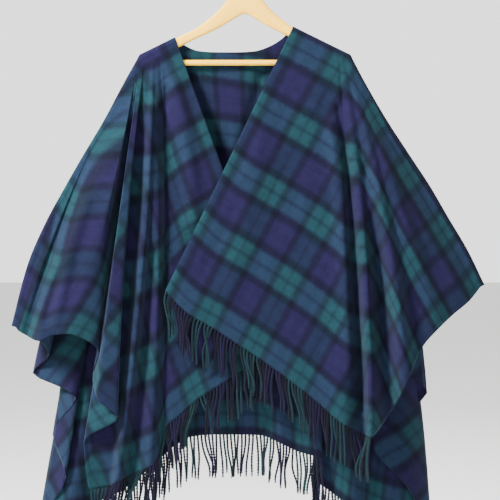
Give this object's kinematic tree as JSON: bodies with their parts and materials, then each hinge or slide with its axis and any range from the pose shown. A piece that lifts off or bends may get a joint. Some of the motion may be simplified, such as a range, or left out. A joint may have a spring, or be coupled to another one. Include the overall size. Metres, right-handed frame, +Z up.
{
  "type": "ruana wrap on a wooden hanger",
  "caption": "Wide open-front woollen wrap with neck cut, fringed hems and draped side wings, hung crossed over itself on a wooden hanger with a trouser bar.",
  "frame": {"origin": "seat of the hook: the inside of the top of the hook, where it rests on a rail", "axes": "+Z up, the open front faces -Y, +X to the right as seen from the front"},
  "size_m": [0.9463, 0.1621, 1.2295],
  "materials": {
    "tartan_wool": "brushed, matt, with a soft nap",
    "fringe_yarn": "twisted yarn, matt",
    "pale_wood": "clear satin varnish",
    "hook_steel": "polished plating"
  },
  "bodies": {
    "root": {"back": "tartan_wool", "front_left": "tartan_wool", "front_right": "tartan_wool", "fringe_back": "fringe_yarn", "fringe_front_left": "fringe_yarn", "fringe_front_right": "fringe_yarn", "hanger_arms": "pale_wood", "hanger_bar": "pale_wood", "hanger_hook": "hook_steel"}
  },
  "joints": []
}
